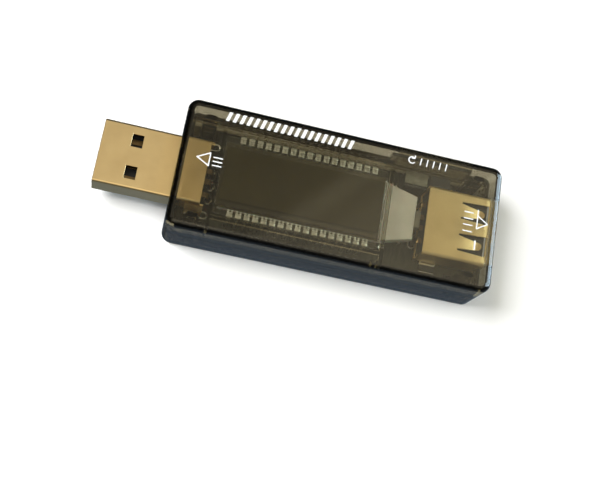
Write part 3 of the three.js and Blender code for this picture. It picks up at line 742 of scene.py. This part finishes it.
CIRCLE_CENTRE, CIRCLE_RADIUS, CIRCLE_STEPS = (11.8, 9.55), 0.62, 18
CIRCLE_FIRST_DEGREES, CIRCLE_SWEEP_DEGREES = 40, 280


def on_roof(x, y):
    """A place on the roof, from millimetres off its middle."""
    return ROOF_MIDDLE + x * MM, y * MM


def print_lines(name, lines, width=LINE):
    solid = bmesh.new()
    for i, (start, end) in enumerate(lines):
        depth = PRINT_DEPTH + LINE_LIFT * i
        add_line(solid, on_roof(*start), on_roof(*end), width, ROOF_HIGH.z, depth)
    new_piece(name, solid, "case", "white_print", PRINT)


def title_bars():
    """A row of plain slanted bars, in place of a title."""
    solid = bmesh.new()
    for i in range(TITLE_BARS):
        left = TITLE_LEFT + BAR_PITCH * i
        corners = (
            (left, 0), (left + BAR_WIDTH, 0),
            (left + BAR_WIDTH + BAR_SLANT, BAR_HEIGHT), (left + BAR_SLANT, BAR_HEIGHT),
        )
        outline = [on_roof(x, TITLE_LOW + y) for x, y in corners]
        add_slab(solid, outline, ROOF_HIGH.z, PRINT_DEPTH)
    new_piece("title_bars", solid, "case", "white_print", PRINT)


def reset_mark():
    """A circling arrow and a row of short bars beside the key."""
    points = []
    for i in range(CIRCLE_STEPS + 1):
        degrees = CIRCLE_FIRST_DEGREES + CIRCLE_SWEEP_DEGREES * i / CIRCLE_STEPS
        turn = math.radians(degrees)
        points.append((
            CIRCLE_CENTRE[0] + CIRCLE_RADIUS * math.cos(turn),
            CIRCLE_CENTRE[1] + CIRCLE_RADIUS * math.sin(turn),
        ))
    lines = list(zip(points, points[1:]))
    tip = points[0]
    lines += [(tip, (tip[0] + 0.05, tip[1] + 0.5)), (tip, (tip[0] - 0.5, tip[1] - 0.02))]
    lines += [((13.4 + 1.2 * i, 8.95), (13.55 + 1.2 * i, 10.15)) for i in range(5)]
    print_lines("reset_mark", lines)


def arrow(tip, base_x, base_low, base_high):
    """The three sides of a triangle that points along X."""
    low, high = (base_x, base_low), (base_x, base_high)
    return [(tip, low), (low, high), (high, tip)]


title_bars()
reset_mark()
print_lines("in_arrow", arrow((-26.2, 1.05), -24.0, -0.13, 2.25))
print_lines("in_bars", [((-23.3, y), (-21.8, y)) for y in (0.1, 0.85, 1.6)])
print_lines(
    "out_arrow",
    arrow((27.3, 0.53), 25.3, -0.68, 1.75) + [((25.3, 1.75), (25.3, 2.85))],
)
print_lines("out_bar", [((25.3, -4.6), (25.3, -3.1))], width=0.3 * MM)
print_lines("out_bars", [((22.8, y), (24.4, y)) for y in (-1.5, -0.3, 0.9, 2.1)])


# ------------------------------------------------------------------ floor, light and camera

FLOOR_HALF = 1.2
FLOOR_DROP = -0.02 * MM
WALL_RADIUS, WALL_HEIGHT, WALL_STEPS = 1.15, 1.6, 64

# The room's colour from straight down (0) to straight up (1).
GROUND = (0.070, 0.088, 0.108)
LEVELS = (
    (0.0, GROUND), (0.47, GROUND), (0.52, (0.008, 0.009, 0.010)),
    (0.8, (0.035, 0.035, 0.032)), (0.93, (0.40, 0.36, 0.27)), (1.0, (0.52, 0.47, 0.36)),
)
# Its strength along X - Y, which puts a slanting sheen on the display.
SHEEN = (
    (0.0, 0.7), (0.26, 1.3), (0.32, 0.95), (0.36, 0.85), (0.396, 1.05),
    (0.408, 2.0), (0.419, 1.6), (0.434, 2.15), (0.5, 2.2), (1.0, 2.2),
)

CAMERA_PLACE = (-0.02342, -0.06158, 0.17455)
CAMERA_TURN_DEGREES = (15.830, -11.235, 9.398)
CAMERA_LENS_MM = 59.98


def room_object(name, solid, paper):
    """Turns a bmesh into a part of the room that the object doesn't mirror."""
    mesh = bpy.data.meshes.new(name)
    solid.to_mesh(mesh)
    solid.free()
    mesh.materials.append(pale_paper(paper))
    thing = bpy.data.objects.new(name, mesh)
    thing.visible_glossy = False
    bpy.context.scene.collection.objects.link(thing)
    return thing


def make_floor():
    solid = bmesh.new()
    solid.faces.new([
        solid.verts.new((x * FLOOR_HALF, y * FLOOR_HALF, 0))
        for x, y in ((-1, -1), (1, -1), (1, 1), (-1, 1))
    ])
    floor = room_object("floor", solid, "pale_floor")
    floor.location.z = FLOOR_DROP


def make_backdrop():
    """A pale wall all round, seen only past the floor's edge; it is left out of the lighting."""
    solid = bmesh.new()
    turns = [2 * math.pi * i / WALL_STEPS for i in range(WALL_STEPS)]
    low, high = (
        [
            solid.verts.new((WALL_RADIUS * math.cos(turn), WALL_RADIUS * math.sin(turn), z))
            for turn in turns
        ]
        for z in (-0.01, WALL_HEIGHT)
    )
    for i in range(WALL_STEPS):
        j = (i + 1) % WALL_STEPS
        solid.faces.new((low[i], high[i], high[j], low[j]))
    backdrop = room_object("backdrop", solid, "pale_backdrop")
    backdrop.data.shade_smooth()
    backdrop.visible_diffuse = False
    backdrop.visible_shadow = False


def soft_light(name, place, aim, size, power, color):
    data = bpy.data.lights.new(name, "AREA")
    data.shape = "RECTANGLE"
    data.size, data.size_y = size
    data.energy = power
    data.color = color
    light = bpy.data.objects.new(name, data)
    light.location = place
    light.rotation_euler = (Vector(aim) - Vector(place)).to_track_quat("-Z", "Y").to_euler()
    bpy.context.scene.collection.objects.link(light)
    return light


def from_signed(tree, value):
    """Maps -1..1 to 0..1."""
    node = tree.nodes.new("ShaderNodeMapRange")
    node.inputs["From Min"].default_value = -1
    tree.links.new(value, node.inputs["Value"])
    return node.outputs["Result"]


def make_world():
    """A room with a warm ceiling, a slanting sheen across it, dim walls and a blue-grey ground."""
    world = bpy.data.worlds.new("studio")
    world.use_nodes = True
    tree = world.node_tree
    nodes, links = tree.nodes, tree.links
    place = nodes.new("ShaderNodeTexCoord")
    split = nodes.new("ShaderNodeSeparateXYZ")
    links.new(place.outputs["Generated"], split.inputs["Vector"])
    slant = nodes.new("ShaderNodeMath")
    slant.operation = "SUBTRACT"
    links.new(split.outputs["X"], slant.inputs[0])
    links.new(split.outputs["Y"], slant.inputs[1])
    both = nodes.new("ShaderNodeMix")
    both.data_type = "RGBA"
    both.blend_type = "MULTIPLY"
    both.inputs["Factor"].default_value = 1
    level = color_ramp(tree, from_signed(tree, split.outputs["Z"]), LEVELS)
    sheen = color_ramp(tree, from_signed(tree, slant.outputs["Value"]), SHEEN)
    links.new(level, both.inputs[MIX_FIRST])
    links.new(sheen, both.inputs[MIX_SECOND])
    links.new(both.outputs[MIX_RESULT], nodes["Background"].inputs["Color"])
    bpy.context.scene.world = world


def make_lights():
    """Two lights that don't show in gloss, and a window that doesn't light matt surfaces."""
    middle = (0, 0, 0)
    key = soft_light(
        "key_light", (-0.34, 0.06, 0.42), middle, (0.3, 0.3), 4.1, (1.0, 1.0, 1.0),
    )
    key.visible_glossy = False
    fill = soft_light(
        "fill_light", (0.05, -0.5, 0.5), middle, (0.6, 0.5), 1.5, (0.62, 0.80, 1.0),
    )
    fill.visible_glossy = False
    window = soft_light(
        "window", (0.5, 0.16, 0.22), (0, 0, 0.005), (0.45, 0.8), 9, (0.70, 0.88, 1.0),
    )
    window.visible_diffuse = False


def make_camera():
    data = bpy.data.cameras.new("camera")
    data.lens = CAMERA_LENS_MM
    data.sensor_width = 36
    data.clip_start = 0.005
    camera = bpy.data.objects.new("camera", data)
    camera.location = CAMERA_PLACE
    camera.rotation_euler = [math.radians(angle) for angle in CAMERA_TURN_DEGREES]
    bpy.context.scene.collection.objects.link(camera)
    bpy.context.scene.camera = camera


make_floor()
make_backdrop()
make_world()
make_camera()
make_lights()
bpy.context.scene.view_settings.view_transform = "Standard"
